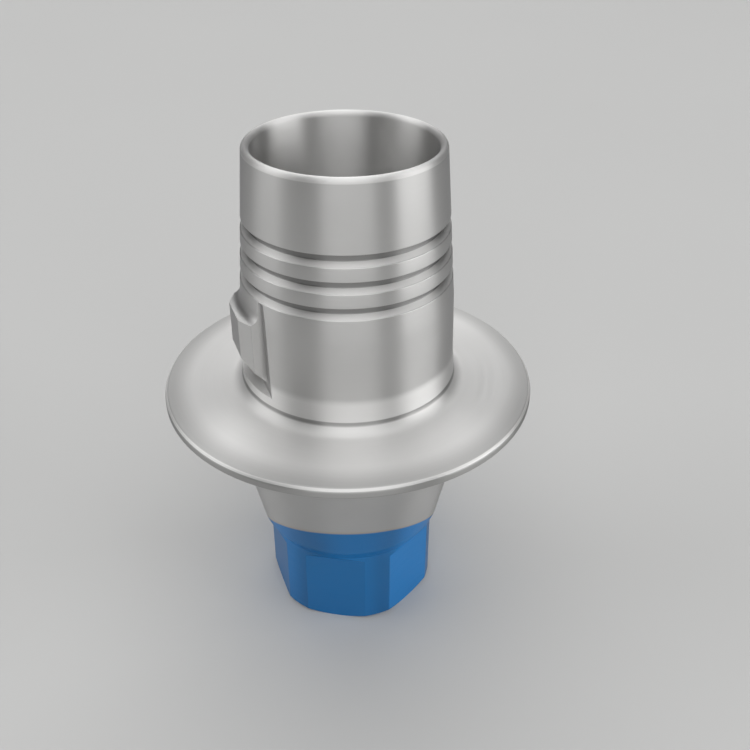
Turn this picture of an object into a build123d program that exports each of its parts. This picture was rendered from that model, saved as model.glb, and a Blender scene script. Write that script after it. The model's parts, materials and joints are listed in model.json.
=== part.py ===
"""Screw-retained dental abutment base, turned and milled from one titanium bar.

The long axis is Z. The flat end that enters the implant rests on Z = 0, the chimney that a crown is
bonded to points up, and the chimney's anti-rotation key faces -X. All sizes are in millimetres.
"""

from math import hypot, radians, tan
import os

from build123d import *

# Hexagonal connection at the bottom end
connection_diameter = 3.16
connection_length = 1.635
hex_across_flats = 2.95
hex_flat_length = 1.5
hex_sides = 6
hex_runout_angle = 38.0
end_chamfer_width = 0.1
end_chamfer_height = 0.065

# Shoulder and sealing cone between the connection and the flange
shoulder_diameter = 3.43
shoulder_length = 0.24
cone_half_angle = 12.0
cone_fillet = 0.35

# Flange that the crown sits on
flange_diameter = 6.5
flange_height = 4.705
rim_width = 0.18
rim_edge_round = 0.08
flange_crown = 0.05
underside_slope = 8.0

# Screw channel from the top, the cone that the screw's head seats on, and the hole for its shank
channel_diameter = 2.97
channel_depth = 6.0
screw_hole_diameter = 2.0
seat_half_angle = 45.0

# Chimney wall round the channel, with every height measured up from the flange's upper edge
chimney_height = 4.27
chimney_top_wall = 0.13
chimney_bend_wall = 0.325
chimney_bend_height = 1.68
chimney_land_wall = 0.36
chimney_land_height = 0.63
chimney_foot_wall = 0.403
chimney_foot_fillet = 0.19
chimney_lip_height = 0.085

# Retention grooves round the chimney, each with a square upper wall and a sloping lower one
groove_count = 3
groove_pitch = 0.426
groove_width = 0.2
groove_floor_width = 0.125
groove_depth = 0.1
lowest_groove_height = 2.07

# Anti-rotation key, seen as a plan with two cut corners, under a hollow sweep from the chimney's wall
key_face_over_pocket_floor = 0.343
key_face_width = 0.64
key_width = 1.21
key_corner_depth = 0.15
key_lower_edge_height = 0.91
key_upper_edge_height = 1.63
key_sweep_height = 0.17
key_undercut_angle = 48.0

# Flat-floored pocket that is milled into the chimney's wall on both sides of the key and below it
pocket_floor_wall = 0.142
pocket_bottom_height = 0.385
pocket_top_height = 2.05

# How far a cutter runs past the surface that it cuts
overrun = 0.5

flange_radius = flange_diameter / 2
flange_top_z = flange_height
chimney_top_z = flange_top_z + chimney_height
chimney_wall_height = chimney_height - chimney_lip_height
channel_radius = channel_diameter / 2
top_radius = channel_radius + chimney_top_wall
bend_radius = channel_radius + chimney_bend_wall
land_radius = channel_radius + chimney_land_wall
foot_radius = channel_radius + chimney_foot_wall
foot_height = flange_crown + chimney_foot_fillet
pocket_floor_distance = channel_radius + pocket_floor_wall
key_face_distance = pocket_floor_distance + key_face_over_pocket_floor
key_reach = hypot(key_face_distance, key_face_width / 2)


def slope(angle):
    """Rise for each millimetre of run at an angle in degrees."""
    return tan(radians(angle))


def turn(outline):
    """Solid turned about Z from a closed outline of radius and height."""
    return revolve(Plane.XZ * make_face(outline), Axis.Z)


def chimney_radius(height):
    """Radius of the chimney's wall at a height above the flange's upper edge."""
    steps = [
        (foot_height, foot_radius),
        (chimney_land_height, land_radius),
        (chimney_bend_height, bend_radius),
        (chimney_wall_height, top_radius),
    ]
    for (low, low_radius), (high, high_radius) in zip(steps, steps[1:]):
        if height <= high:
            break
    return low_radius + (high_radius - low_radius) * (height - low) / (high - low)


def blank():
    """The turned body of the abutment, with the way through for the screw down its middle."""
    connection_radius = connection_diameter / 2
    shoulder_radius = shoulder_diameter / 2
    shoulder_z = connection_length + shoulder_length
    rim_bottom_z = flange_top_z - rim_width

    # The cone runs up until it meets the sloping underside of the flange
    cone_at_rim = shoulder_radius + slope(cone_half_angle) * (rim_bottom_z - shoulder_z)
    slopes = slope(cone_half_angle) * slope(underside_slope)
    underside_run = (flange_radius - cone_at_rim) / (1 - slopes)
    meeting_radius = flange_radius - underside_run
    meeting_z = rim_bottom_z - slope(underside_slope) * underside_run

    # The screw's channel ends in a conical seat for its head, over the hole for its shank
    hole_radius = screw_hole_diameter / 2
    seat_z = chimney_top_z - channel_depth
    hole_z = seat_z - (channel_radius - hole_radius) / slope(seat_half_angle)

    # The lip at the top is half an ellipse, as wide as the wall is thick there
    lip_z = flange_top_z + chimney_wall_height
    lip_middle = (channel_radius + chimney_top_wall / 2, lip_z)

    connection = Polyline(
        (hole_radius, hole_z),
        (hole_radius, 0),
        (connection_radius - end_chamfer_width, 0),
        (connection_radius, end_chamfer_height),
        (connection_radius, connection_length),
        (shoulder_radius, shoulder_z),
    )
    cone_and_rim = FilletPolyline(
        (shoulder_radius, shoulder_z),
        (meeting_radius, meeting_z),
        (flange_radius, rim_bottom_z),
        (flange_radius, flange_top_z - rim_edge_round),
        radius=(cone_fillet, 0),
    )
    rim_edge = JernArc(cone_and_rim @ 1, (0, 1), rim_edge_round, 90)
    foot = JernArc((foot_radius, flange_top_z + foot_height), (0, -1), chimney_foot_fillet, 90)
    flange_face = TangentArc(foot @ 1, rim_edge @ 1, tangent=(1, 0))
    chimney = Polyline(
        foot @ 0,
        (land_radius, flange_top_z + chimney_land_height),
        (bend_radius, flange_top_z + chimney_bend_height),
        (top_radius, lip_z),
    )
    lip = EllipticalCenterArc(lip_middle, chimney_top_wall / 2, chimney_lip_height, arc_size=180)
    passage = Polyline((channel_radius, lip_z), (channel_radius, seat_z), (hole_radius, hole_z))
    return turn([connection, cone_and_rim, rim_edge, flange_face, foot, chimney, lip, passage])


def groove(lower_height):
    """Ring that cuts one retention groove, from the height of its lower edge."""
    lower_radius = chimney_radius(lower_height)
    upper_height = lower_height + groove_width
    floor_radius = chimney_radius(upper_height) - groove_depth
    sloping_wall_height = groove_width - groove_floor_width
    wall_slope = sloping_wall_height / (lower_radius - floor_radius)
    outside_radius = lower_radius + groove_depth
    outline = Polyline(
        (floor_radius, flange_top_z + upper_height),
        (floor_radius, flange_top_z + lower_height + sloping_wall_height),
        (outside_radius, flange_top_z + lower_height - groove_depth * wall_slope),
        (outside_radius, flange_top_z + upper_height),
        close=True,
    )
    return turn(outline)


def connection_waste():
    """What is milled off the turned connection to leave its hexagon, with a run-out above each flat."""
    hexagon = RegularPolygon(
        hex_across_flats / 2, hex_sides, major_radius=False, rotation=180 / hex_sides
    )
    flats = extrude(hexagon, amount=hex_flat_length)
    runout_length = connection_length - hex_flat_length
    runout = extrude(Pos(0, 0, hex_flat_length) * hexagon, amount=runout_length, taper=-hex_runout_angle)
    sleeve = Pos(0, 0, -overrun) * Cylinder(
        connection_diameter / 2 + overrun,
        connection_length + overrun,
        align=(Align.CENTER, Align.CENTER, Align.MIN),
    )
    foot_of_hexagon = Pos(0, 0, -overrun) * extrude(hexagon, amount=overrun)
    return sleeve - (foot_of_hexagon + flats + runout)


def pocket():
    """Block that mills the chimney's wall away round the key, down to a flat floor."""
    return Pos(-pocket_floor_distance, 0, flange_top_z + pocket_bottom_height) * Box(
        key_reach,
        2 * foot_radius,
        pocket_top_height - pocket_bottom_height,
        align=(Align.MAX, Align.CENTER, Align.MIN),
    )


def key():
    """The key and the strip of wall over it, both rooted behind the pocket's floor."""
    root_radius = (channel_radius + pocket_floor_distance) / 2
    bottom_z = flange_top_z + pocket_bottom_height
    pocket_top_z = flange_top_z + pocket_top_height
    upper_z = flange_top_z + key_upper_edge_height
    sweep_height = key_upper_edge_height + key_sweep_height
    sweep_top = (chimney_radius(sweep_height), flange_top_z + sweep_height)
    sweep = TangentArc(sweep_top, (key_reach, upper_z), tangent=(0, -1))
    rest = Polyline(
        (key_reach, upper_z),
        (key_reach, bottom_z),
        (root_radius, bottom_z),
        (root_radius, pocket_top_z),
        (chimney_radius(pocket_top_height), pocket_top_z),
        sweep_top,
    )
    half_plan = [
        (0, key_width / 2),
        (-(key_face_distance - key_corner_depth), key_width / 2),
        (-key_face_distance, key_face_width / 2),
    ]
    other_half = [(x, -y) for x, y in reversed(half_plan)]
    plan = make_face(Polyline(*half_plan, *other_half, close=True))
    bar = extrude(Pos(0, 0, bottom_z) * plan, amount=pocket_top_z - bottom_z)

    # The undercut slopes down and back from the lower edge of the key's face
    lower_z = flange_top_z + key_lower_edge_height
    undercut_drop = slope(key_undercut_angle) * key_face_distance
    undercut = make_face(
        Polyline(
            (-key_face_distance, lower_z),
            (0, lower_z - undercut_drop),
            (-key_face_distance, lower_z - undercut_drop),
            close=True,
        )
    )
    return (bar & turn([sweep, rest])) - extrude(Plane.XZ * undercut, amount=key_width, both=True)


abutment = blank() - connection_waste() - pocket()
for groove_number in range(groove_count):
    abutment -= groove(lowest_groove_height + groove_number * groove_pitch)
abutment += key()

os.makedirs("parts", exist_ok=True)
export_step(abutment, "parts/abutment.step")
print("abutment volume in cubic millimetres:", round(abutment.volume, 3))
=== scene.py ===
"""Scene of a screw-retained dental abutment base, turned and milled from one titanium bar.

The part stands on the flat end that enters the implant, at the origin of the frame, with its long axis
on Z and its anti-rotation key facing -X. Its outside is made in millimetres from an outline of radius
and height, is milled as the real part is, and is then brought to metres.
"""

import json
from math import asin, atan2, ceil, cos, hypot, pi, radians, sin, tan

import bpy
from bpy.props import FloatProperty, FloatVectorProperty, IntProperty, PointerProperty
from bpy.types import Operator, Panel, PropertyGroup
from mathutils import Euler, Matrix, Vector


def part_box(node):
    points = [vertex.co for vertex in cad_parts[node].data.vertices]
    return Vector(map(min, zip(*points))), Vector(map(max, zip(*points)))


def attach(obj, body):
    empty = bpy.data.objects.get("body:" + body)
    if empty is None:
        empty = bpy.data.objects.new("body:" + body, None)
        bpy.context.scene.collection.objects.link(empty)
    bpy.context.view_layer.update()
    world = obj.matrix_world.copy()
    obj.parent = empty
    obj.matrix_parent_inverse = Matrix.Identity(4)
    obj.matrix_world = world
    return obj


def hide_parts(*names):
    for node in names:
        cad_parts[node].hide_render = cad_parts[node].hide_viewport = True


bl_info = {
    "name": "Dental abutment",
    "version": (1, 0, 0),
    "blender": (4, 5, 0),
    "location": "View3D > Sidebar > Abutment",
    "description": "Makes a titanium abutment base with its grooves, key and blue end, and its studio",
    "category": "Object",
}

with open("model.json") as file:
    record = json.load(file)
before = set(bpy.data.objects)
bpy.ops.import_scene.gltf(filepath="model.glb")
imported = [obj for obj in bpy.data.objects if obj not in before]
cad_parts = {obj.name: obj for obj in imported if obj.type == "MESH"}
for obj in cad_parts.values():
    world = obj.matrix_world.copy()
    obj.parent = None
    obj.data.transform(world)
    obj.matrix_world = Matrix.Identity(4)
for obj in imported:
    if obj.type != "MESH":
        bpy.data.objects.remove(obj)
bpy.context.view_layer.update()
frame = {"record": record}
node_low, node_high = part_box("abutment")
bores = {mount["name"]: mount for mount in frame["record"]["mounts"] if mount["kind"] == "bore"}

METRE_IN_MM = 1000

# Fineness of the mesh
SEGMENTS = 360
ARC_STEP = radians(9)
FEWEST_ARC_STEPS = 3
FACE_STEPS = 16
LIP_STEPS = 20
SWEEP_STEPS = 16

# Angle from which an edge is shaded sharp, and how far large faces lead the shading
SHARP_EDGE = radians(14)
LARGE_FACE_WEIGHT = 80

# Rounds in millimetres: along cut edges, and where the blank changes its taper
EDGE_ROUND = 0.01
SHOULDER_ROUND = 0.04
LAND_ROUND = 0.3
BEND_ROUND = 0.5

# How far in millimetres a tool or the key runs past what it cuts or joins
FLAT_OVERRUN = 0.5
KEY_OVERRUN = 1.0
KEY_OVERLAP = 0.01
FACE_OVERRUN = 0.2

# Distance in millimetres of the key's inner end from the axis, and half the width of the undercut's tool
KEY_ROOT = 1.0
UNDERCUT_HALF_WIDTH = 2.0

# Where a finish begins to change and has changed, in millimetres past the line it is measured from
LINE_SPAN = (-0.01, 0.01)
BEFORE_LINE = (-0.01, 0)
AFTER_LINE = (0, 0.01)
OUTSIDE_SPAN = (0.02, 0.05)
FLANGE_TOP_SPAN = (-0.06, -0.03)
UPPER_FACE_SPAN = (0.08, 0.25)
LAND_TOP_SPAN = (-0.1, 0.06)
GROOVE_SLOPE_DEPTH = (0.005, 0.02)
GROOVE_FLOOR_DEPTH = (0.03, 0.06)
FILLET_TOP_SPAN = (-0.09, -0.05)
RIM_EDGE_SPAN = (0.03, 0.045)
RIM_SIDE_SPAN = (-0.01, -0.005)
RIM_TOP_SPAN = (-0.09, -0.08)
RIM_SHADE_SPAN = (-0.45, 0)

# The blue's edge, in millimetres: its soft bend, its waver, its blur, and where its thin film ends
BLUE_BEND = 0.1
BLUE_WAVER = 0.02
BLUE_SPAN = (-0.02, 0.02)
FILM_SPAN = (0.02, 0.08)

# Strength of the film, painted shade on the fillet and on the rim's side as shares of that on the grooves'
# floors, and the rim's painted shade
FILM_SHARE = 0.3
FILLET_SHADE = 0.65
RIM_SIDE_SHADE = 0.5
RIM_SHADE = 0.3

# How much smudges vary the brightness and roughness, marks the roughness, and mottle the floor
SMUDGE_TONE = 0.1
SMUDGE_ROUGHNESS = 0.08
MARK_ROUGHNESS = 0.1
FLOOR_MOTTLE = 0.03

# Depth in millimetres of the metal's relief, how strongly it shows, and what each pattern adds to it
RELIEF = 0.0016
RELIEF_STRENGTH = 0.5
MARKS_RELIEF = 0.5
BANDS_RELIEF = 0.5
GRAIN_RELIEF = 0.3

# Turn of the stretched reflections, across the lathe's marks, and tint of the metal seen edge on
ACROSS_MARKS = 0.25
EDGE_TINT = (0.6, 0.6, 0.61, 1)

# The clear oxide over the blue
COAT_WEIGHT = 0.5
COAT_ROUGHNESS = 0.2
COAT_IOR = 1.8

# Nearest distance in metres that the camera sees
NEAREST_SEEN = 0.001


def mm(metres):
    """A length in millimetres, in which the part is made."""
    return metres * METRE_IN_MM


def slope(angle):
    """Rise for each unit of run at an angle in radians."""
    return tan(angle)


def length(name, millimetres, description):
    """A size of the part that a user can change."""
    return FloatProperty(
        name=name, description=description, default=millimetres / METRE_IN_MM, min=0, unit="LENGTH"
    )


def angle(name, degrees, description):
    """An angle of the part that a user can change."""
    return FloatProperty(name=name, description=description, default=radians(degrees), unit="ROTATION")


def colour(name, value, description):
    """A colour of a finish that a user can change."""
    return FloatVectorProperty(
        name=name, description=description, default=value, min=0, max=1, size=3, subtype="COLOR"
    )


def tone(name, value, description):
    """A brightness that a user can change, as a multiple of the turned metal's."""
    description += ", as a multiple of the turned metal's"
    return FloatProperty(name=name, description=description, default=value, min=0)


def factor(name, value, description):
    """A share from 0 to 1 that a user can change."""
    return FloatProperty(
        name=name, description=description, default=value, min=0, max=1, subtype="FACTOR"
    )


class ConnectionSizes(PropertyGroup):
    """Sizes of the end that enters the implant, and of the sealing cone over it"""

    diameter: length("Diameter", 3.16, "Diameter that the end is turned to")
    height: length("Height", 1.635, "Length of the turned end")
    chamfer_width: length("Chamfer width", 0.1, "Width of the chamfer round the end")
    chamfer_height: length("Chamfer height", 0.065, "Height of the chamfer round the end")
    across_flats: length("Across flats", 2.95, "Distance between opposite flats of the hexagon")
    flat_height: length("Flat height", 1.5, "Length of a flat, from the end up to its run-out")
    flats: IntProperty(name="Flats", description="Number of flats", default=6, min=3)
    runout: angle("Run-out", 38, "Angle at which the cutter leaves each flat")
    shoulder_diameter: length("Shoulder diameter", 3.43, "Small diameter of the sealing cone")
    shoulder_height: length("Shoulder height", 0.24, "Length of the shoulder under the sealing cone")
    cone_angle: angle("Cone angle", 12, "Half angle of the sealing cone")
    cone_fillet: length("Cone fillet", 0.35, "Radius between the cone and the flange's underside")
    hole_radius: length("Hole radius", bores["screw_hole"]["dims"]["r_mm"], "Radius of the screw's hole")


class FlangeSizes(PropertyGroup):
    """Sizes of the thin round flange"""

    diameter: length("Diameter", mm(node_high.y - node_low.y), "Outer diameter of the flange")
    height: length("Height", 4.705, "Height of the flange's upper edge over the end of the part")
    rim_width: length("Rim width", 0.18, "Height of the flange's edge")
    rim_round: length("Rim round", 0.08, "Radius along the flange's upper edge")
    lower_round: length("Lower round", 0.03, "Radius along the flange's lower edge")
    crown: length("Crown", 0.05, "Rise of the flange's upper face from its edge to the chimney")
    underside: angle("Underside", 8, "Slope of the flange's underside")


class ChimneySizes(PropertyGroup):
    """Sizes of the hollow chimney, with heights measured up from the flange's upper edge"""

    channel_radius: length("Channel", bores["screw_channel"]["dims"]["r_mm"], "Radius of the screw channel")
    channel_depth: length("Channel depth", 6.0, "Depth of the screw channel")
    seat: angle("Seat", 45, "Half angle of the cone that the screw's head seats on")
    height: length("Height", 4.27, "Height of the chimney")
    top_wall: length("Top wall", 0.13, "Thickness of the wall at the top")
    bend_wall: length("Bend wall", 0.325, "Thickness of the wall where its taper changes")
    bend_height: length("Bend height", 1.68, "Height at which the wall's taper changes")
    land_wall: length("Land wall", 0.36, "Thickness of the wall at the top of its lower land")
    land_height: length("Land height", 0.63, "Height of the top of the lower land")
    foot_wall: length("Foot wall", 0.403, "Thickness of the wall at its foot")
    foot_fillet: length("Foot fillet", 0.19, "Radius between the chimney and the flange")
    lip_height: length("Lip height", 0.085, "Height of the rounded lip")


class GrooveSizes(PropertyGroup):
    """Sizes of the retention grooves, with heights measured up from the flange's upper edge"""

    count: IntProperty(name="Count", description="Number of grooves", default=3, min=1)
    pitch: length("Pitch", 0.426, "Distance from one groove to the next")
    width: length("Width", 0.2, "Width of a groove at the chimney's wall")
    floor_width: length("Floor width", 0.125, "Width of a groove at its floor")
    depth: length("Depth", 0.1, "Depth of a groove")
    lowest: length("Lowest", 2.07, "Height of the lower edge of the lowest groove")
    edge: length("Edge", 0.012, "Radius along the edges of a groove")


class KeySizes(PropertyGroup):
    """Sizes of the anti-rotation key and its pocket, with heights from the flange's upper edge"""

    floor_wall: length("Floor wall", 0.142, "Thickness of the wall behind the pocket's floor")
    bottom: length("Bottom", 0.385, "Height of the pocket's lower end")
    top: length("Top", 2.05, "Height of the pocket's upper end")
    face: length("Face", 0.343, "Distance of the key's face from the pocket's floor")
    face_width: length("Face width", 0.64, "Width of the key's face")
    width: length("Width", 1.21, "Width of the key between its flanks")
    corner: length("Corner", 0.15, "Depth of the key's cut corners")
    corner_round: length("Corner round", 0.02, "Radius along the key's upright edges")
    lower_edge: length("Lower edge", 0.91, "Height of the lower edge of the key's face")
    upper_edge: length("Upper edge", 1.63, "Height of the upper edge of the key's face")
    sweep: length("Sweep", 0.17, "Height of the hollow sweep from the key to the wall")
    undercut: angle("Undercut", 48, "Slope of the undercut below the key's face")


class FinishSettings(PropertyGroup):
    """Colours and surface of the metal, with its painted highlights, sheen, shade and light"""

    metal: colour("Metal", (0.57, 0.567, 0.56), "Colour of the turned titanium")
    blue: colour("Blue", (0.011, 0.195, 0.5), "Colour of the anodised end")
    bronze: colour("Bronze", (0.5, 0.36, 0.22), "Colour of the thin film at the edge of the blue")
    roughness: factor("Roughness", 0.38, "Roughness of the turned metal")
    upper_roughness: factor("Upper roughness", 0.52, "Roughness of the flange's blasted upper face")
    # Painted sheen: the flange's upper face is brighter in the colour, besides its rougher blasted finish
    upper_sheen_tone: tone("Upper tone", 1.2, "Brightness of the flange's upper face")
    fine_roughness: factor("Fine roughness", 0.56, "Roughness of the foot, the lip and the grooves' slopes")
    # Painted highlight: besides their rougher finish, these parts are brighter in the colour
    fine_highlight_tone: tone("Fine tone", 1.36, "Brightness of the foot, the lip and the grooves' slopes")
    # Painted shade: the grooves' floors, and shares of that on the fillet's top and the rim's side, are
    # darker in the colour
    painted_shade_tone: tone("Dull tone", 0.5, "Brightness of the grooves' floors")
    # Painted light: the channel's wall is brighter in the colour
    bore_light_tone: tone("Bore tone", 1.3, "Brightness of the channel's wall")
    lay: factor("Lay", 0.85, "How much the marks of the lathe stretch a reflection across them")
    blue_roughness: factor("Blue roughness", 0.5, "Roughness of the anodised end")
    blue_front: length("Blue front", 2.49, "Height of the edge of the blue at the camera's side")
    blue_fall: length("Blue fall", 1.0, "Fall of that edge from there to a quarter turn away")
    blue_back: length("Blue back", 1.79, "Height of the edge of the blue round the back")


class StageSettings(PropertyGroup):
    """Camera, floor and light"""

    camera_azimuth: angle("Camera azimuth", 18, "Turn of the camera from -Y towards -X")
    camera_reach: length("Camera reach", 13.663, "Distance of the camera from the part's axis")
    camera_height: length("Camera height", 13.623, "Height of the camera over the floor")
    camera_pitch: angle("Camera pitch", 33.33, "Angle at which the camera looks down")
    camera_yaw: angle("Camera yaw", 2.0, "Turn of the camera's look from the part's axis")
    camera_roll: angle("Camera roll", 0.15, "Roll of the camera")
    lens: FloatProperty(name="Lens", description="Focal length in millimetres", default=43.454, min=1)
    floor_width: length("Floor width", 220, "Width of the floor, which ends well inside the lamps")
    lamp_distance: length("Lamp distance", 270, "Distance of each lamp from the part's middle")
    floor: colour("Floor", (0.5, 0.5, 0.495), "Colour of the floor")
    surround: factor("Surround", 0.03, "Brightness of the dark room round the stage")


def rounded(corners):
    """Closed outline from corners of radius, height and rounding, with each rounding as an arc."""
    outline = []
    for index, (radius, height, rounding) in enumerate(corners):
        corner = Vector((radius, height))
        if not rounding:
            outline.append(corner)
            continue
        before = (Vector(corners[index - 1][:2]) - corner).normalized()
        after = (Vector(corners[(index + 1) % len(corners)][:2]) - corner).normalized()
        half = before.angle(after) / 2
        centre = corner + (before + after).normalized() * rounding / sin(half)
        start = corner + before * rounding / tan(half) - centre
        end = corner + after * rounding / tan(half) - centre
        turn = start.angle_signed(end)
        steps = max(FEWEST_ARC_STEPS, ceil(abs(turn) / ARC_STEP))
        for step in range(steps + 1):
            outline.append(centre + Matrix.Rotation(-turn * step / steps, 2) @ start)
    return [tuple(point) for point in outline]


def mesh_object(name, points, faces):
    """A new object whose mesh has those points and faces."""
    mesh = bpy.data.meshes.new(name)
    mesh.from_pydata(points, [], faces)
    mesh.validate()
    made = bpy.data.objects.new(name, mesh)
    bpy.context.collection.objects.link(made)
    return made


def turned(name, outline):
    """A ring turned about Z from a closed outline, anticlockwise where the axis is on its left."""
    points = [
        (radius * cos(2 * pi * turn / SEGMENTS), radius * sin(2 * pi * turn / SEGMENTS), height)
        for turn in range(SEGMENTS)
        for radius, height in outline
    ]
    count = len(outline)
    faces = []
    for turn in range(SEGMENTS):
        here = turn * count
        there = (turn + 1) % SEGMENTS * count
        for step in range(count):
            following = (step + 1) % count
            faces.append((here + step, there + step, there + following, here + following))
    return mesh_object(name, points, faces)


def prism(name, plan, bottom, top):
    """An upright bar on an anticlockwise plan of x and y."""
    count = len(plan)
    points = [(x, y, bottom) for x, y in plan] + [(x, y, top) for x, y in plan]
    faces = [tuple(reversed(range(count))), tuple(range(count, 2 * count))]
    for step in range(count):
        following = (step + 1) % count
        faces.append((step, following, count + following, count + step))
    return mesh_object(name, points, faces)


def lying_prism(name, side, half_width):
    """A bar along Y on a side view of x and height, anticlockwise seen from -Y."""
    count = len(side)
    points = [(x, -half_width, z) for x, z in side] + [(x, half_width, z) for x, z in side]
    faces = [tuple(range(count)), tuple(reversed(range(count, 2 * count)))]
    for step in range(count):
        following = (step + 1) % count
        faces.append((following, step, count + step, count + following))
    return mesh_object(name, points, faces)


def apply_modifiers(made):
    """Gives the object the mesh that its modifiers make, and removes the modifiers."""
    depsgraph = bpy.context.evaluated_depsgraph_get()
    mesh = bpy.data.meshes.new_from_object(made.evaluated_get(depsgraph))
    made.modifiers.clear()
    made.data = mesh


def combine(made, tool, operation):
    """Cuts or joins the object with a tool, and removes the tool."""
    modifier = made.modifiers.new(operation, "BOOLEAN")
    modifier.operation = operation
    modifier.solver = "EXACT"
    modifier.object = tool
    apply_modifiers(made)
    bpy.data.objects.remove(tool)


class Field:
    """A socket of a node tree that Python's operators work on."""

    def __init__(self, nodes, socket):
        self.nodes = nodes
        self.socket = socket

    def math(self, operation, *others):
        """The result of a Math node on this value and others."""
        return self.nodes.math(operation, self, *others)

    def __add__(self, other):
        return self.math("ADD", other)

    __radd__ = __add__

    def __sub__(self, other):
        return self.math("SUBTRACT", other)

    def __rsub__(self, other):
        return self.nodes.math("SUBTRACT", other, self)

    def __mul__(self, other):
        return self.math("MULTIPLY", other)

    __rmul__ = __mul__

    def __truediv__(self, other):
        return self.math("DIVIDE", other)

    def __rtruediv__(self, other):
        return self.nodes.math("DIVIDE", other, self)

    def step(self, low, high):
        """0 below the low value, 1 above the high one, and smooth between them."""
        settings = {"interpolation_type": "SMOOTHSTEP"}
        return self.nodes.add("ShaderNodeMapRange", settings, {"Value": self, 1: low, 2: high})

    def past(self, line, span):
        """0 where a span measured from a line begins, 1 where it ends, and smooth between them."""
        return self.step(line + span[0], line + span[1])

    def spread(self, width):
        """This noise, brought to a width that lies evenly round 0."""
        return (self - 0.5) * width


class Nodes:
    """Maker of the nodes of one tree."""

    def __init__(self, tree):
        self.tree = tree
        tree.nodes.clear()

    def add(self, kind, settings=None, inputs=None, output=0):
        """One output of a new node of that kind, with its settings and then its inputs."""
        node = self.tree.nodes.new(kind)
        for name, value in (settings or {}).items():
            setattr(node, name, value)
        for key, value in (inputs or {}).items():
            for single in value if isinstance(value, list) else [value]:
                self.feed(self.find(node.inputs, key), single)
        return Field(self, self.find(node.outputs, output)) if node.outputs else None

    def find(self, sockets, key):
        """The socket at an index, or the first one in use with that name."""
        if isinstance(key, int):
            return sockets[key]
        return next(socket for socket in sockets if socket.name == key and socket.enabled)

    def feed(self, socket, value):
        """Links a field to a socket, or sets the socket's own value."""
        if isinstance(value, Field):
            self.tree.links.new(value.socket, socket)
        else:
            socket.default_value = value

    def math(self, operation, *values):
        """The result of a Math node on values."""
        return self.add("ShaderNodeMath", {"operation": operation}, dict(enumerate(values)))

    def scaled(self, vector, scale):
        """A vector or colour times a number."""
        return self.add("ShaderNodeVectorMath", {"operation": "SCALE"}, {0: vector, "Scale": scale})

    def noise(self, vector, scale, detail):
        """Smooth noise between 0 and 1."""
        inputs = {"Vector": vector, "Scale": scale, "Detail": detail}
        return self.add("ShaderNodeTexNoise", inputs=inputs)

    def mix(self, share, first, second):
        """The first colour, or the second where the share is 1."""
        inputs = {"Factor": share, "A": first, "B": second}
        return self.add("ShaderNodeMix", {"data_type": "RGBA"}, inputs, output="Result")


def milling_tree():
    """Tree that cuts the flats and the pocket from a turned blank and joins the key to it.

    It takes the tool for one flat, and repeats it evenly round the axis.
    """
    tree = bpy.data.node_groups.new("Milling", "GeometryNodeTree")
    inputs = {
        "Blank": "NodeSocketGeometry",
        "Flat Tool": "NodeSocketObject",
        "Flat Count": "NodeSocketInt",
        "Pocket Tool": "NodeSocketObject",
        "Key": "NodeSocketObject",
        "Metal": "NodeSocketMaterial",
    }
    for name, kind in inputs.items():
        tree.interface.new_socket(name, in_out="INPUT", socket_type=kind)
    tree.interface.new_socket("Part", in_out="OUTPUT", socket_type="NodeSocketGeometry")
    nodes = Nodes(tree)
    group = tree.nodes.new("NodeGroupInput")
    given = {name: Field(nodes, group.outputs[name]) for name in inputs}

    def shape_of(name):
        """The geometry of the object that an input names."""
        return nodes.add("GeometryNodeObjectInfo", inputs={"Object": given[name]}, output="Geometry")

    index = nodes.add("GeometryNodeInputIndex")
    spots = nodes.add(
        "GeometryNodeMeshLine", inputs={"Count": given["Flat Count"], "Offset": (0, 0, 0)}
    )
    turn = nodes.add("ShaderNodeCombineXYZ", inputs={"Z": index * (2 * pi) / given["Flat Count"]})
    flats = nodes.add(
        "GeometryNodeInstanceOnPoints",
        inputs={"Points": spots, "Instance": shape_of("Flat Tool"), "Rotation": turn},
    )

    cut = given["Blank"]
    for tool in (flats, shape_of("Pocket Tool")):
        solid = nodes.add("GeometryNodeRealizeInstances", inputs={0: tool})
        cut = nodes.add(
            "GeometryNodeMeshBoolean",
            {"operation": "DIFFERENCE", "solver": "EXACT"},
            {0: cut, 1: solid},
        )
    joined = nodes.add(
        "GeometryNodeMeshBoolean",
        {"operation": "UNION", "solver": "EXACT"},
        {1: [cut, shape_of("Key")]},
    )
    whole = nodes.add("GeometryNodeRealizeInstances", inputs={0: joined})
    done = nodes.add(
        "GeometryNodeSetMaterial", inputs={"Geometry": whole, "Material": given["Metal"]}
    )
    nodes.add("NodeGroupOutput", inputs={"Part": done})
    return tree


def chimney_radius(chimney, flange, height):
    """Radius of the chimney's wall, in millimetres, at a height over the flange's upper edge."""
    channel = mm(chimney.channel_radius)
    foot = (mm(flange.crown + chimney.foot_fillet), channel + mm(chimney.foot_wall))
    land = (mm(chimney.land_height), channel + mm(chimney.land_wall))
    bend = (mm(chimney.bend_height), channel + mm(chimney.bend_wall))
    lip = (mm(chimney.height - chimney.lip_height), channel + mm(chimney.top_wall))
    steps = [foot, land, bend, lip]
    for (low, low_radius), (high, high_radius) in zip(steps, steps[1:]):
        if height <= high:
            break
    return low_radius + (high_radius - low_radius) * (height - low) / (high - low)


def groove_corners(flange, chimney, groove):
    """Corners of the retention grooves, from the lowest one up."""
    top = mm(flange.height)
    edge = mm(groove.edge)
    corners = []
    for number in range(groove.count):
        low = mm(groove.lowest + number * groove.pitch)
        high = low + mm(groove.width)
        high_radius = chimney_radius(chimney, flange, high)
        floor_radius = high_radius - mm(groove.depth)
        floor_low = high - mm(groove.floor_width)
        corners += [
            (chimney_radius(chimney, flange, low), top + low, edge),
            (floor_radius, top + floor_low, edge),
            (floor_radius, top + high, edge / 2),
            (high_radius, top + high, edge),
        ]
    return corners


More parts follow.
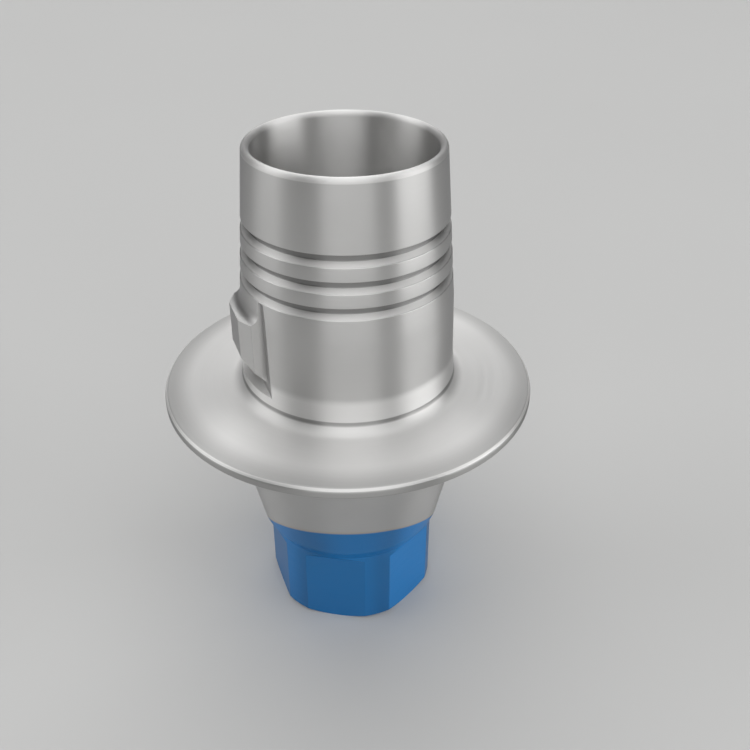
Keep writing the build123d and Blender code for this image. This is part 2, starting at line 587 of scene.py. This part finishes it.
def blank_outline(connection, flange, chimney, groove):
    """Outline of the turned part, from the screw's hole round the outside and down the channel."""
    hole = mm(connection.hole_radius)
    end_radius = mm(connection.diameter) / 2
    shoulder_radius = mm(connection.shoulder_diameter) / 2
    shoulder_z = mm(connection.height + connection.shoulder_height)
    rim_radius = mm(flange.diameter) / 2
    top = mm(flange.height)
    rim_bottom = top - mm(flange.rim_width)

    # The sealing cone ends where it meets the sloping underside
    cone_slope = slope(connection.cone_angle)
    under_slope = slope(flange.underside)
    cone_at_rim = shoulder_radius + cone_slope * (rim_bottom - shoulder_z)
    run = (rim_radius - cone_at_rim) / (1 - cone_slope * under_slope)

    # The upper face is an arc that starts level at the chimney's fillet
    channel = mm(chimney.channel_radius)
    foot_radius = channel + mm(chimney.foot_wall)
    fillet = mm(chimney.foot_fillet)
    crown = mm(flange.crown)
    face_start = foot_radius + fillet
    face_run = rim_radius - mm(flange.rim_round) - face_start
    face_radius = (face_run**2 + crown**2) / (2 * crown)
    face = []
    for step in range(FACE_STEPS, 0, -1):
        sweep = asin(face_run / face_radius) * step / FACE_STEPS
        drop = face_radius * (1 - cos(sweep))
        face.append((face_start + face_radius * sin(sweep), top + crown - drop, 0))

    # The lip is half an ellipse, as wide as the wall
    wall = mm(chimney.top_wall)
    lip_z = top + mm(chimney.height - chimney.lip_height)
    lip = []
    for step in range(LIP_STEPS + 1):
        swing = pi * step / LIP_STEPS
        lip_radius = channel + wall / 2 + cos(swing) * wall / 2
        lip.append((lip_radius, lip_z + mm(chimney.lip_height) * sin(swing), 0))

    seat_z = top + mm(chimney.height) - mm(chimney.channel_depth)
    return rounded(
        [
            (hole, seat_z - (channel - hole) / slope(chimney.seat), EDGE_ROUND),
            (hole, 0, EDGE_ROUND),
            (end_radius - mm(connection.chamfer_width), 0, EDGE_ROUND),
            (end_radius, mm(connection.chamfer_height), EDGE_ROUND),
            (end_radius, mm(connection.height), 0),
            (shoulder_radius, shoulder_z, SHOULDER_ROUND),
            (rim_radius - run, rim_bottom - under_slope * run, mm(connection.cone_fillet)),
            (rim_radius, rim_bottom, mm(flange.lower_round)),
            (rim_radius, top, mm(flange.rim_round)),
            *face,
            (foot_radius, top + crown, fillet),
            (channel + mm(chimney.land_wall), top + mm(chimney.land_height), LAND_ROUND),
            (channel + mm(chimney.bend_wall), top + mm(chimney.bend_height), BEND_ROUND),
            *groove_corners(flange, chimney, groove),
            *lip,
            (channel, seat_z, EDGE_ROUND),
        ]
    )


def flat_tool(connection):
    """The block that mills one flat, with a sloping run-out at its top."""
    flat = mm(connection.across_flats) / 2
    outside = mm(connection.diameter)
    flat_top = mm(connection.flat_height)
    rise = (mm(connection.height) - flat_top) * slope(connection.runout)
    side = [
        (flat, -FLAT_OVERRUN),
        (outside, -FLAT_OVERRUN),
        (outside, mm(connection.height)),
        (flat + rise, mm(connection.height)),
        (flat, flat_top),
    ]
    return lying_prism("flat_tool", side, outside)


def pocket_tool(flange, chimney, key):
    """The block that mills the chimney's wall away, down to the pocket's flat floor."""
    floor = mm(chimney.channel_radius + key.floor_wall)
    half = mm(chimney.channel_radius + chimney.foot_wall)
    outside = floor + 2 * half
    plan = [(-outside, -half), (-floor, -half), (-floor, half), (-outside, half)]
    bottom = mm(flange.height + key.bottom)
    return prism("pocket_tool", plan, bottom, mm(flange.height + key.top))


def key_piece(flange, chimney, key):
    """Makes the key and the strip of wall over it, with its hollow sweep and its undercut."""
    top = mm(flange.height)
    channel = mm(chimney.channel_radius)
    floor = channel + mm(key.floor_wall)
    face = floor + mm(key.face)
    half_face = mm(key.face_width) / 2
    half_width = mm(key.width) / 2
    shoulder = face - mm(key.corner)
    corner_round = mm(key.corner_round)
    corners = [
        (-KEY_ROOT, -half_width, 0),
        (-KEY_ROOT, half_width, 0),
        (-shoulder, half_width, corner_round),
        (-face, half_face, corner_round),
        (-face, -half_face, corner_round),
        (-shoulder, -half_width, corner_round),
    ]
    reach = hypot(face, half_face)
    low = top + mm(key.bottom)
    high = top + mm(key.top)

    # The sweep is an arc that leaves the wall straight down and ends at the key's upper edge
    upper = top + mm(key.upper_edge)
    sweep_top = upper + mm(key.sweep)
    wall_radius = chimney_radius(chimney, flange, sweep_top - top)
    run = reach - wall_radius
    drop = sweep_top - upper
    arc_radius = (run**2 + drop**2) / (2 * run)
    arc_angle = atan2(drop, arc_radius - run)
    sweep = []
    for step in range(SWEEP_STEPS + 1):
        swing = arc_angle * (1 - step / SWEEP_STEPS)
        sweep.append(
            (wall_radius + arc_radius * (1 - cos(swing)), sweep_top - arc_radius * sin(swing))
        )
    root = (channel + floor) / 2
    past_top = high + KEY_OVERLAP
    outline = [
        (root, low - KEY_OVERLAP),
        (reach, low - KEY_OVERLAP),
        *sweep,
        (chimney_radius(chimney, flange, high - top), high),
        (chimney_radius(chimney, flange, past_top - top) - KEY_OVERLAP / 2, past_top),
        (root, past_top),
    ]
    made = prism("key", rounded(corners), low - KEY_OVERRUN, high + KEY_OVERRUN)
    combine(made, turned("key_outline", outline), "INTERSECT")

    # The undercut falls back from the lower edge of the face
    lower = top + mm(key.lower_edge)
    fall = slope(key.undercut) * (face - KEY_ROOT)
    past = face + FACE_OVERRUN
    ahead = slope(key.undercut) * (past - face)
    side = [
        (-past, lower - fall - KEY_OVERRUN),
        (-KEY_ROOT, lower - fall - KEY_OVERRUN),
        (-KEY_ROOT, lower - fall),
        (-past, lower + ahead),
    ]
    combine(made, lying_prism("undercut_tool", side, UNDERCUT_HALF_WIDTH), "DIFFERENCE")


def soft_shading(made):
    """Shades the object smoothly, led by its large faces, with sharp edges where it is cut."""
    made.data.shade_smooth()
    made.data.set_sharp_from_angle(angle=SHARP_EDGE)
    modifier = made.modifiers.new("Weighted normals", "WEIGHTED_NORMAL")
    modifier.keep_sharp = True
    modifier.weight = LARGE_FACE_WEIGHT
    apply_modifiers(made)


def metal_material(finish, flange, chimney, groove, facing):
    """Turned titanium with an anodised blue end, whose edge is highest on the side it faces. Its colour
    carries painted highlights, sheen, shade and light.
    """
    material = bpy.data.materials.new("turned_titanium")
    material.use_nodes = True
    nodes = Nodes(material.node_tree)
    in_mm = nodes.scaled(nodes.add("ShaderNodeTexCoord", output="Object"), METRE_IN_MM)
    x, y, z = (nodes.add("ShaderNodeSeparateXYZ", inputs={0: in_mm}, output=axis) for axis in "XYZ")
    radius = (x * x + y * y).math("SQRT")

    def feed(round_part, along_outline, detail):
        """Marks of the lathe, which change slowly round the part and fast along its outline."""
        inputs = {"X": x * round_part, "Y": y * round_part, "Z": (z + radius) * along_outline}
        return nodes.noise(nodes.add("ShaderNodeCombineXYZ", inputs=inputs), scale=1.0, detail=detail)

    marks = feed(round_part=0.7, along_outline=26, detail=3.0)
    bands = feed(round_part=0.5, along_outline=7, detail=2.0)
    grain = nodes.noise(in_mm, scale=42.0, detail=4.0)
    smudge = nodes.noise(in_mm, scale=0.9, detail=3.0)
    waver = nodes.noise(in_mm, scale=1.6, detail=2.0)

    # The edge of the blue slopes down from the camera's side, wavers, and is level round the back
    turned_away = 1 - (x * facing.x + y * facing.y) / radius
    sloping = mm(finish.blue_front) - turned_away * mm(finish.blue_fall)
    blue_edge = sloping.math("SMOOTH_MAX", mm(finish.blue_back), BLUE_BEND)
    over = z - blue_edge + waver.spread(BLUE_WAVER)
    blue = 1 - over.step(*BLUE_SPAN)
    film = (1 - over.step(*FILM_SPAN)) * (1 - blue) * FILM_SHARE

    # The upper face is the flange's, and the land is the band round the foot of the chimney
    channel_radius = mm(chimney.channel_radius)
    foot_radius = channel_radius + mm(chimney.foot_wall)
    foot_z = mm(flange.height + flange.crown + chimney.foot_fillet)
    outside = radius.past(channel_radius, OUTSIDE_SPAN)
    above_flange = z.past(mm(flange.height), FLANGE_TOP_SPAN)
    above_fillet = z.past(foot_z, LINE_SPAN)
    upper_face = radius.past(foot_radius, UPPER_FACE_SPAN) * above_flange
    land = above_fillet * (1 - z.past(mm(flange.height + chimney.land_height), LAND_TOP_SPAN))

    # The grooves, each a slope with a painted highlight under a floor with painted shade, lie deeper than
    # the tapering wall
    bend_z = mm(flange.height + chimney.bend_height)
    lip_z = mm(flange.height + chimney.height - chimney.lip_height)
    taper = mm(chimney.bend_wall - chimney.top_wall) / (lip_z - bend_z)
    wall_radius = channel_radius + mm(chimney.bend_wall) - (z - bend_z) * taper
    depth = wall_radius - radius
    grooves_z = mm(flange.height + groove.lowest)
    grooves_end_z = grooves_z + mm(groove.pitch * (groove.count - 1) + groove.width)
    in_grooves = z.past(grooves_z, BEFORE_LINE) * (1 - z.past(grooves_end_z, AFTER_LINE))
    over_lower_edge = (z - grooves_z).math("MODULO", mm(groove.pitch))
    over_slope = over_lower_edge.past(mm(groove.width - groove.floor_width), BEFORE_LINE)
    slopes = in_grooves * (1 - over_slope) * depth.step(*GROOVE_SLOPE_DEPTH)
    floors = in_grooves * over_slope * depth.step(*GROOVE_FLOOR_DEPTH) * outside
    lip = z.past(lip_z, LINE_SPAN)
    # The channel's wall, which is given painted light
    bore = (1 - outside) * (1 - lip)

    # The fillet round the foot has a painted highlight below and painted shade above, and the rim has a
    # painted highlight on its upper edge and painted shade on its side
    high_on_fillet = z.past(foot_z, FILLET_TOP_SPAN)
    fillet_top = high_on_fillet * (1 - above_fillet) * outside
    fillet_low = above_flange * (1 - high_on_fillet) * (1 - upper_face)
    rim_radius = mm(flange.diameter) / 2
    edge_radius = rim_radius - mm(flange.rim_round)
    rim_edge = radius.past(edge_radius, RIM_EDGE_SPAN)
    rim_side = radius.past(rim_radius, RIM_SIDE_SPAN)
    rim_top = rim_edge * (1 - rim_side) * z.past(mm(flange.height), RIM_TOP_SPAN)
    upper_face = upper_face * (1 - rim_edge)
    shade = radius.past(edge_radius, RIM_SHADE_SPAN) * upper_face
    # The land, the grooves' slopes, the lower fillet, the rim's upper edge and the lip are rougher, and
    # brighter in the colour as a painted highlight
    fine_and_highlight = ((land + slopes + fillet_low) * outside + rim_top).math("MAXIMUM", lip)
    # Painted shade on the grooves' floors, the fillet's top and the rim's side
    painted_shade = floors + fillet_top * FILLET_SHADE + rim_side * RIM_SIDE_SHADE

    smudged = 1 + smudge.spread(SMUDGE_TONE)
    # Random smudges, with a painted highlight on the fine parts and a painted sheen on the flange's upper
    # face
    bright = smudged * (1 + fine_and_highlight * (finish.fine_highlight_tone - 1) + upper_face * (finish.upper_sheen_tone - 1))
    # Painted shade on the grooves' floors, the fillet's top and the rim's side, and painted light on the
    # channel's wall
    bright = bright * (1 - painted_shade * (1 - finish.painted_shade_tone)) * (1 + bore * (finish.bore_light_tone - 1))
    metal = nodes.scaled(tuple(finish.metal), bright * (1 - shade * RIM_SHADE))
    oxide = nodes.scaled(tuple(finish.blue), smudged)
    base = nodes.mix(blue, nodes.mix(film, metal, (*finish.bronze, 1)), oxide)
    roughness = finish.roughness + marks.spread(MARK_ROUGHNESS) + smudge.spread(SMUDGE_ROUGHNESS)
    roughness = roughness + blue * (finish.blue_roughness - finish.roughness)
    roughness = roughness + upper_face * (finish.upper_roughness - finish.roughness)
    roughness = roughness + fine_and_highlight * (finish.fine_roughness - finish.roughness)
    normal = nodes.add(
        "ShaderNodeBump",
        inputs={
            "Strength": RELIEF_STRENGTH,
            "Distance": RELIEF / METRE_IN_MM,
            "Height": marks * MARKS_RELIEF + bands * BANDS_RELIEF + grain * GRAIN_RELIEF,
        },
    )
    shader = nodes.add(
        "ShaderNodeBsdfPrincipled",
        inputs={
            "Base Color": base,
            "Metallic": 1.0,
            "Roughness": roughness,
            "Anisotropic": finish.lay,
            "Anisotropic Rotation": ACROSS_MARKS,
            "Specular Tint": EDGE_TINT,
            "Coat Weight": blue * COAT_WEIGHT,
            "Coat Roughness": COAT_ROUGHNESS,
            "Coat IOR": COAT_IOR,
            "Normal": normal,
        },
    )
    nodes.add("ShaderNodeOutputMaterial", inputs={"Surface": shader})
    return material


def floor_material(stage):
    """Pale matt floor with a faint mottle."""
    material = bpy.data.materials.new("pale_floor")
    material.use_nodes = True
    nodes = Nodes(material.node_tree)
    position = nodes.add("ShaderNodeTexCoord", output="Object")
    mottle = nodes.noise(position, scale=60.0, detail=2.0)
    shade = nodes.scaled(tuple(stage.floor), 1 + mottle.spread(FLOOR_MOTTLE))
    shader = nodes.add("ShaderNodeBsdfPrincipled", inputs={"Base Color": shade, "Roughness": 0.9})
    nodes.add("ShaderNodeOutputMaterial", inputs={"Surface": shader})
    return material


def softbox(stage, name, azimuth, elevation, width, height, brightness):
    """Adds a soft lamp that faces the part.

    Its azimuth, in degrees, runs from the camera towards its right hand. Its size is in metres, and its
    brightness is 1 where the lamp would look white.
    """
    turn = radians(azimuth) - stage.camera_azimuth
    rise = radians(elevation)
    direction = Vector((sin(turn) * cos(rise), -cos(turn) * cos(rise), sin(rise)))
    lamp = bpy.data.lights.new(name, "AREA")
    lamp.shape = "RECTANGLE"
    lamp.size = width
    lamp.size_y = height
    lamp.energy = brightness * pi * width * height
    made = bpy.data.objects.new(name, lamp)
    made.location = Vector((0, 0, node_high.z / 2)) + direction * stage.lamp_distance
    made.rotation_euler = direction.to_track_quat("Z", "Y").to_euler()
    made.visible_camera = False
    bpy.context.collection.objects.link(made)


class ABUTMENT_OT_blank(Operator):
    """Turns the blank, with everything on it that is round"""

    bl_idname = "abutment.turn_blank"
    bl_label = "Turn the Blank"

    def execute(self, context):
        sizes = context.scene.abutment
        outline = blank_outline(sizes.connection, sizes.flange, sizes.chimney, sizes.groove)
        turned("blank", outline)
        return {"FINISHED"}


class ABUTMENT_OT_key(Operator):
    """Makes the anti-rotation key with its sweep and undercut"""

    bl_idname = "abutment.make_key"
    bl_label = "Make the Key"

    def execute(self, context):
        sizes = context.scene.abutment
        key_piece(sizes.flange, sizes.chimney, sizes.key)
        return {"FINISHED"}


class ABUTMENT_OT_part(Operator):
    """Mills the blank, joins the key to it, and gives the part its finish"""

    bl_idname = "abutment.mill_part"
    bl_label = "Mill the Part"

    def execute(self, context):
        sizes = context.scene.abutment
        part = bpy.data.objects["blank"]
        key = bpy.data.objects["key"]
        flat = flat_tool(sizes.connection)
        pocket = pocket_tool(sizes.flange, sizes.chimney, sizes.key)
        camera_turn = sizes.stage.camera_azimuth
        facing = Vector((-sin(camera_turn), -cos(camera_turn)))
        metal = metal_material(sizes.finish, sizes.flange, sizes.chimney, sizes.groove, facing)
        values = {
            "Flat Tool": flat,
            "Flat Count": sizes.connection.flats,
            "Pocket Tool": pocket,
            "Key": key,
            "Metal": metal,
        }
        modifier = part.modifiers.new("Milling", "NODES")
        modifier.node_group = milling_tree()
        for item in modifier.node_group.interface.items_tree:
            if item.in_out == "INPUT" and item.name in values:
                modifier[item.identifier] = values[item.name]
        apply_modifiers(part)
        for tool in (flat, pocket, key):
            bpy.data.objects.remove(tool)
        part.name = part.data.name = "abutment_body"
        part.data.transform(Matrix.Scale(1 / METRE_IN_MM, 4))
        soft_shading(part)
        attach(part, "root")
        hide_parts("abutment")
        return {"FINISHED"}


class ABUTMENT_OT_stage(Operator):
    """Sets up the floor, the light and the camera"""

    bl_idname = "abutment.set_stage"
    bl_label = "Set the Stage"

    def execute(self, context):
        stage = context.scene.abutment.stage
        half = stage.floor_width / 2
        corners = [(-half, -half, 0), (half, -half, 0), (half, half, 0), (-half, half, 0)]
        floor = mesh_object("floor", corners, [(0, 1, 2, 3)])
        floor.data.materials.append(floor_material(stage))

        turn = stage.camera_azimuth
        softbox(stage, "top_box", azimuth=0, elevation=90, width=0.36, height=0.48, brightness=1.22)
        softbox(stage, "left_box", azimuth=-90, elevation=26, width=0.19, height=0.24, brightness=1.65)
        softbox(stage, "front_box", azimuth=2, elevation=14, width=0.28, height=0.132, brightness=1.3)
        softbox(stage, "front_high_box", azimuth=5, elevation=42, width=0.27, height=0.135, brightness=1.5)
        softbox(stage, "right_box", azimuth=78, elevation=14, width=0.228, height=0.132, brightness=3.7)
        softbox(stage, "back_box", azimuth=180, elevation=42, width=0.3, height=0.135, brightness=1.7)

        # The room is dark for the camera and the metal alike, so the lamps stand out as bands
        world = bpy.data.worlds.new("room")
        world.use_nodes = True
        nodes = Nodes(world.node_tree)
        grey = (stage.surround, stage.surround, stage.surround, 1)
        room = nodes.add("ShaderNodeBackground", inputs={"Color": grey})
        nodes.add("ShaderNodeOutputWorld", inputs={"Surface": room})
        context.scene.world = world
        context.scene.view_settings.view_transform = "Standard"

        lens = bpy.data.cameras.new("camera")
        lens.lens = stage.lens
        lens.clip_start = NEAREST_SEEN
        camera = bpy.data.objects.new("camera", lens)
        look = Euler((pi / 2 - stage.camera_pitch, 0, -turn - stage.camera_yaw)).to_matrix()
        reach = stage.camera_reach
        place = Matrix.Translation((-reach * sin(turn), -reach * cos(turn), stage.camera_height))
        camera.matrix_world = place @ look.to_4x4() @ Matrix.Rotation(stage.camera_roll, 4, "Z")
        context.collection.objects.link(camera)
        context.scene.camera = camera
        return {"FINISHED"}


class AbutmentSettings(PropertyGroup):
    """All sizes, finishes and stage settings of the abutment"""

    connection: PointerProperty(type=ConnectionSizes)
    flange: PointerProperty(type=FlangeSizes)
    chimney: PointerProperty(type=ChimneySizes)
    groove: PointerProperty(type=GrooveSizes)
    key: PointerProperty(type=KeySizes)
    finish: PointerProperty(type=FinishSettings)
    stage: PointerProperty(type=StageSettings)


class ABUTMENT_PT_panel(Panel):
    """Sidebar panel with the sizes of the abutment and the steps that make it"""

    bl_idname = "ABUTMENT_PT_panel"
    bl_label = "Abutment"
    bl_space_type = "VIEW_3D"
    bl_region_type = "UI"
    bl_category = "Abutment"

    def draw(self, context):
        """Lists each group of sizes and settings, and then the steps."""
        settings = context.scene.abutment
        for group in settings.bl_rna.properties:
            if group.type != "POINTER" or not group.is_runtime:
                continue
            box = self.layout.box()
            box.label(text=group.identifier.capitalize())
            values = getattr(settings, group.identifier)
            for item in values.bl_rna.properties:
                if item.is_runtime:
                    box.prop(values, item.identifier)
        for operator in OPERATORS:
            self.layout.operator(operator.bl_idname)


GROUPS = (
    ConnectionSizes,
    FlangeSizes,
    ChimneySizes,
    GrooveSizes,
    KeySizes,
    FinishSettings,
    StageSettings,
    AbutmentSettings,
)
OPERATORS = (ABUTMENT_OT_blank, ABUTMENT_OT_key, ABUTMENT_OT_part, ABUTMENT_OT_stage)


def register():
    """Registers the classes, and puts the settings on the scene."""
    for cls in (*GROUPS, *OPERATORS, ABUTMENT_PT_panel):
        bpy.utils.register_class(cls)
    bpy.types.Scene.abutment = PointerProperty(type=AbutmentSettings)


def unregister():
    """Takes the settings off the scene, and unregisters the classes."""
    del bpy.types.Scene.abutment
    for cls in reversed((*GROUPS, *OPERATORS, ABUTMENT_PT_panel)):
        bpy.utils.unregister_class(cls)


def main():
    """Makes the part and its stage."""
    register()
    bpy.ops.abutment.turn_blank()
    bpy.ops.abutment.make_key()
    bpy.ops.abutment.mill_part()
    bpy.ops.abutment.set_stage()


if __name__ == "__main__":
    main()
